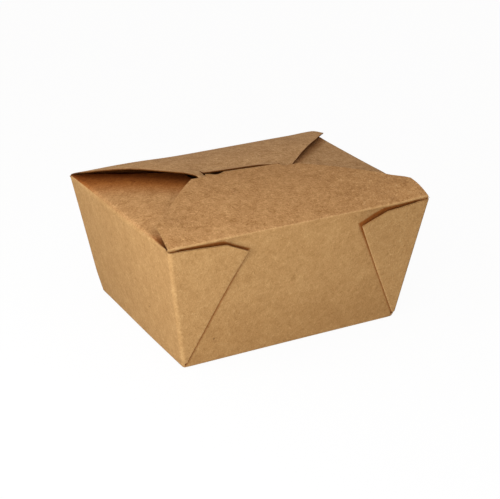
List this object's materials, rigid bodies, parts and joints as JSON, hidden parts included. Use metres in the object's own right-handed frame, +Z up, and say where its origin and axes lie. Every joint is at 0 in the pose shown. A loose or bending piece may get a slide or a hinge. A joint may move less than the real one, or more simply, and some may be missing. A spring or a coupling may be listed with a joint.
{
  "type": "cardboard lunch box",
  "caption": "Kraft board take-out lunch box with leaning walls, folded web corners and a lid of bowed flaps; the front flap turns on its crease and tucks its tongue into a slit.",
  "frame": {"origin": "on the table plane, under the middle of the base", "axes": "+X to the right along the long walls, +Y from the front flap's side to the back flap's side, +Z up"},
  "size_m": [0.131, 0.107, 0.0683],
  "materials": {
    "kraft_board": "uncoated brown kraft board, matte"
  },
  "bodies": {
    "carton": {"carton": "kraft_board"},
    "front_flap": {"front_flap": "kraft_board"}
  },
  "joints": [
    {"name": "front_flap_hinge", "type": "hinge", "parent": "carton", "child": "front_flap", "pos_m": [0, -0.05216, 0.06028], "axis": [1, 0, 0], "range_deg": [0, 200]}
  ]
}
